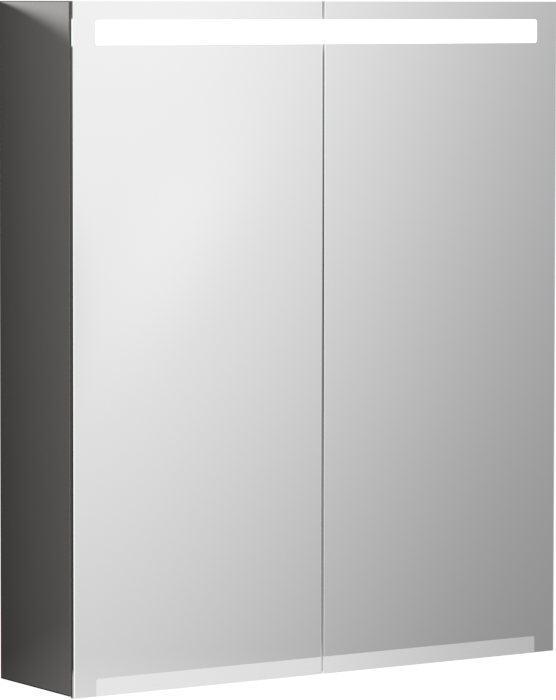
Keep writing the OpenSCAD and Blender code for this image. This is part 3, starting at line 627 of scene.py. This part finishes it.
# Ground edge: grey-green, because one looks through the width of the glass.
ground_edge, tree, shader, spot = finish("ground_glass_edge", "BsdfPrincipled",
    Base_Color=linear("#a9c6bb"), Roughness=0.25, IOR=1.52, Transmission_Weight=0.5)
wheel_marks = put(tree, "TexNoise", Vector=spot, Scale=1 / (1.0 * MM))
put(tree, "Bump", Height=wheel_marks, Distance=0.02 * MM, to=shader.inputs["Normal"])

shelf_arris = 0.7 * MM
for name in ("upper_shelf", "lower_shelf"):
    c0, c1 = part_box(name)
    shelf = slab(name + "_glass", box_outline(c0.x, c1.x, c0.y, c1.y), shelf_arris, (c0.z, c1.z),
        (0, 1, 2), (shelf_arris, shelf_arris), 1, 1)
    shelf.data.materials.append(clear_glass)
    shelf.data.materials.append(ground_edge)
    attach(shelf, "carcass")
    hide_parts(name)

# Bright chrome on turned steel: a hard clear shine, barely clouded by handling.
chrome, tree, shader, spot = finish("bright_chrome", "BsdfPrincipled", Base_Color=linear("#e6e7e8"),
    Metallic=1.0)
polish = put(tree, "TexNoise", Vector=spot, Scale=1 / (3 * MM))
put(tree, "MapRange", Value=polish, **noise_span, To_Min=0.06, To_Max=0.12, to=shader.inputs["Roughness"])
dress(chrome, "shelf_supports")


# ---------------------------------------------------------------------------
# Doors. Each is two 3 mm mirror sheets bonded back to back. The front sheet is left open for
# the opal light window and for the satin grip strip, and its edges are ground and polished.

# Satin-etched glass over silver: the image comes back blurred, as a soft grey-white.
satin, tree, shader, spot = finish("satin_etched_glass_painted_glow", "BsdfPrincipled", Base_Color=linear("#fcfcfc"),
    Metallic=1.0, Roughness=0.21, Emission_Color=linear("#f8f8f8"))
etch = put(tree, "TexNoise", Vector=spot, Scale=1 / (0.7 * MM), Detail=3.0)
put(tree, "Bump", Height=etch, Distance=0.004 * MM, to=shader.inputs["Normal"])
# The etch has a painted glow, which grows towards the gap between the doors and is strongest at
# the cut end there.
grip_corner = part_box("right_grip_strip")[1]
far_glow, gap_glow, end_glow = 0.13, 0.21, 0.10
gap_end = 1.7 * MM
aside = put(tree, "Math", operation="ABSOLUTE", in0=put(tree, "SeparateXYZ", Vector=spot))
to_gap = put(tree, "MapRange", Value=aside, From_Min=grip_corner.x, From_Max=0, To_Min=far_glow,
    To_Max=gap_glow)
cut_end = put(tree, "Math", operation="COMPARE", in0=aside, in1=0.0, in2=gap_end)
put(tree, "Math", operation="MULTIPLY_ADD", in0=cut_end, in1=end_glow, in2=to_gap,
    to=shader.inputs["Emission Strength"])
dress(satin, "left_grip_strip", "right_grip_strip")

# Lit opal acrylic in the window: even and full white from edge to edge.
window, tree, shader, spot = finish("lit_window_acrylic", "BsdfPrincipled", Base_Color=linear("#d9d9d9"),
    Roughness=0.5, Emission_Color=linear("#ffffff"), Emission_Strength=0.85)
window_skin = put(tree, "TexNoise", Vector=spot, Scale=1 / (0.8 * MM))
put(tree, "Bump", Height=window_skin, Distance=0.005 * MM, to=shader.inputs["Normal"])
dress(window, "left_light_panel", "right_light_panel")


def glass_edge(name, dark, pale, glow, **settings):
    """A ground glass edge of two near shades. It gives off painted light by its height, as the
    (height, brightness) pairs say: beside the window it stands for the window's light carried along
    inside the sheets, and elsewhere it is painted light and shade."""
    made, tree, shader, spot = finish(name, "BsdfPrincipled", **settings)
    wheel = put(tree, "TexNoise", Vector=spot, Scale=1 / (2 * MM))
    put(tree, "Mix", data_type="RGBA", Factor=wheel, in6=linear(dark), in7=linear(pale),
        to=shader.inputs["Base Color"])
    height = put(tree, "SeparateXYZ", Vector=spot).outputs[2]
    share = put(tree, "MapRange", Value=height, From_Min=low[2], From_Max=high[2])
    put(tree, "ValToRGB", Fac=share, stops=[((z - low[2]) / (high[2] - low[2]), tone) for z, tone in glow],
        to=shader.inputs["Emission Strength"])
    return made


band_low, band_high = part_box("left_light_panel")[0].z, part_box("left_light_panel")[1].z
grip_top = grip_corner.z
hair = 0.4 * MM
glass_light = linear("#fdffff")
gap_light = linear("#fdfffd")
# The outer edges are painted dark, as painted shade; painted light makes them shine only beside the
# window and at the grip strip, and the window's shine starts and ends within a hair.
front_outer_edge = glass_edge("front_sheet_outer_edge_painted_shade_and_light", "#1b1d1c", "#242625",
    [(low[2], 0.38), (grip_top + 4 * MM, 0.36), (grip_top + 12 * MM, 0.006), (-0.40, 0.006),
     (-0.26, 0.015), (-0.15, 0.04), (-0.05, 0.08), (band_low - hair, 0.11), (band_low, 1.0),
     (band_high, 1.0), (band_high + hair, 0.11), (high[2], 0.10)],
    Roughness=0.7, Specular_IOR_Level=0.1, Emission_Color=glass_light)
rear_outer_edge = glass_edge("rear_sheet_outer_edge_painted_shade", "#2a2e2c", "#333735",
    [(low[2], 0.01), (0, 0.01), (high[2], 0.02)],
    Roughness=0.7, Specular_IOR_Level=0.25, Emission_Color=glass_light)
# The edges in the gap between the doors are painted lighter than the outer ones, with painted light
# that changes with height as listed.
front_gap_edge = glass_edge("front_sheet_gap_edge_painted_light", "#3c3e3d", "#474948",
    [(low[2], 0.36), (grip_top - 1 * MM, 0.34), (grip_top + 2 * MM, 0.28), (-0.57, 0.22),
     (-0.467, 0.19), (-0.36, 0.08), (-0.26, 0.04), (-0.10, 0.08), (-0.01, 0.13), (band_low, 0.35),
     (band_high, 0.40), (high[2], 0.34)],
    Roughness=0.7, Specular_IOR_Level=0.25, Emission_Color=gap_light)
rear_gap_edge = glass_edge("rear_sheet_gap_edge_painted_light", "#616463", "#6e706f",
    [(low[2], 0.36), (grip_top - 1 * MM, 0.42), (-0.62, 0.22), (-0.50, 0.15), (-0.36, 0.21),
     (-0.26, 0.29), (-0.11, 0.41), (-0.01, 0.48), (band_low, 0.60), (band_high, 0.60),
     (band_high + hair, 0.32), (high[2], 0.30)],
    Roughness=0.7, Specular_IOR_Level=0.25, Emission_Color=gap_light)
# The slanting cuts along the front: polished outside, ground satin in the gap; their brightness is
# partly their own reflection and partly a painted highlight, set by height.
outer_cut = glass_edge("polished_outer_cut_painted_highlight", "#f5f5f5", "#fbfbfb",
    [(low[2], 0.12), (-0.30, 0.08), (0, 0.03), (high[2], 0.03)],
    Metallic=1.0, Roughness=0.1, Emission_Color=glass_light)
gap_cut = glass_edge("ground_gap_cut_painted_highlight", "#8f908f", "#9c9d9c",
    [(low[2], 0.24), (-0.57, 0.24), (-0.467, 0.31), (-0.26, 0.42), (-0.05, 0.56), (high[2], 0.56)],
    Roughness=0.4, Emission_Color=gap_light)

upright_cut = 1.2 * MM
level_cut = 0.2 * MM
cut_depth = 0.5 * MM
corner_steps = 8


def arc(u, v, r, start, end):
    """Points on a quarter circle about (u, v), from one angle to another in degrees."""
    a = np.radians(np.linspace(start, end, corner_steps))
    return np.stack([u + r * np.cos(a), v + r * np.sin(a)], 1).tolist()


band_r = 3 * MM
grip_r = 2.5 * MM
for side, sign in (("left", 1), ("right", -1)):
    c0, c1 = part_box(side + "_front_mirror")
    g0, g1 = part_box(side + "_grip_strip")
    outer, inner = (c0.x, c1.x) if sign > 0 else (-c1.x, -c0.x)
    notch = g0.x if sign > 0 else -g1.x
    # Drawn for the left door: bottom, grip notch, gap edge, window notch, gap edge, top, outer edge.
    outline = [(outer, c0.z), (notch, c0.z)]
    outline += arc(notch + grip_r, g1.z - grip_r, grip_r, 180, 90)
    outline += [(inner, g1.z), (inner, band_low)]
    outline += arc(notch + band_r, band_low + band_r, band_r, 270, 180)
    outline += arc(notch + band_r, band_high - band_r, band_r, 180, 90)
    outline += [(inner, band_high), (inner, c1.z), (outer, c1.z)]
    # The gap edges run from the grip notch to the window notch and from there to the top. Materials:
    # 0 is the mirror, 1 the outer edge, 2 its cut, 3 the gap edge and 4 its cut.
    gap_edges = [2 + corner_steps, len(outline) - 3]
    outer_edge, level_edges = -1, [0, -2]
    inset = np.zeros(len(outline))
    inset[gap_edges] = upright_cut
    inset[outer_edge] = upright_cut
    inset[level_edges] = level_cut
    sides = np.ones(len(outline), int)
    sides[gap_edges] = 3
    cuts = np.full(len(outline), 2)
    cuts[gap_edges] = 4
    front = slab(side + "_mirror_front_sheet", np.array(outline) * (sign, 1), inset, (c0.y, c1.y),
        (0, 2, 1), (cut_depth, 0), sides, cuts)
    for material in (silvered, front_outer_edge, outer_cut, front_gap_edge, gap_cut):
        front.data.materials.append(material)
    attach(front, side + "_door")
    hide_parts(side + "_front_mirror")

    # The rear sheet faces the inside; the opal strip is let into it from the gap. Its gap edges, below
    # and above the strip, take material 2.
    c0, c1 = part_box(side + "_rear_mirror")
    r0, r1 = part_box(side + "_light_panel")
    strip = r0.x if sign > 0 else -r1.x
    outline = [(outer, c0.z), (inner, c0.z), (inner, band_low), (strip, band_low), (strip, band_high),
        (inner, band_high), (inner, c1.z), (outer, c1.z)]
    rear = slab(side + "_mirror_rear_sheet", np.array(outline) * (sign, 1), 0, (c0.y, c1.y),
        (0, 2, 1), (0, 0), (1, 2, 1, 1, 1, 2, 1, 1), 1)
    for material in (silvered, rear_outer_edge, rear_gap_edge):
        rear.data.materials.append(material)
    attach(rear, side + "_door")
    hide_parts(side + "_rear_mirror")


# ---------------------------------------------------------------------------
# Hinges. Two to a door: a cast arm screwed to the side panel, a stamped steel link that turns on
# two pins, and a cast plate bonded to the door's inner mirror.

for side in ("left", "right"):
    dress(cast_zinc, side + "_hinge_arms", side + "_hinge_plates")
    dress(plated_steel, side + "_hinge_links", side + "_arm_pins", side + "_door_pins")
dress(plated_steel, "hinge_screws")


# ---------------------------------------------------------------------------
# Door buffers. Clear silicone buttons, cast and self-adhesive, on the front edges of the top and
# bottom panels. The doors close against them.

# Clear silicone: water-white and soft, a little cloudy.
silicone, tree, shader, spot = finish("clear_silicone", "BsdfPrincipled", Base_Color=linear("#f1f5f5"),
    Roughness=0.25, IOR=1.41, Transmission_Weight=0.7)
cast_skin = put(tree, "TexNoise", Vector=spot, Scale=1 / (1.0 * MM))
put(tree, "Bump", Height=cast_skin, Distance=0.01 * MM, to=shader.inputs["Normal"])
dress(silicone, "door_bumpers")
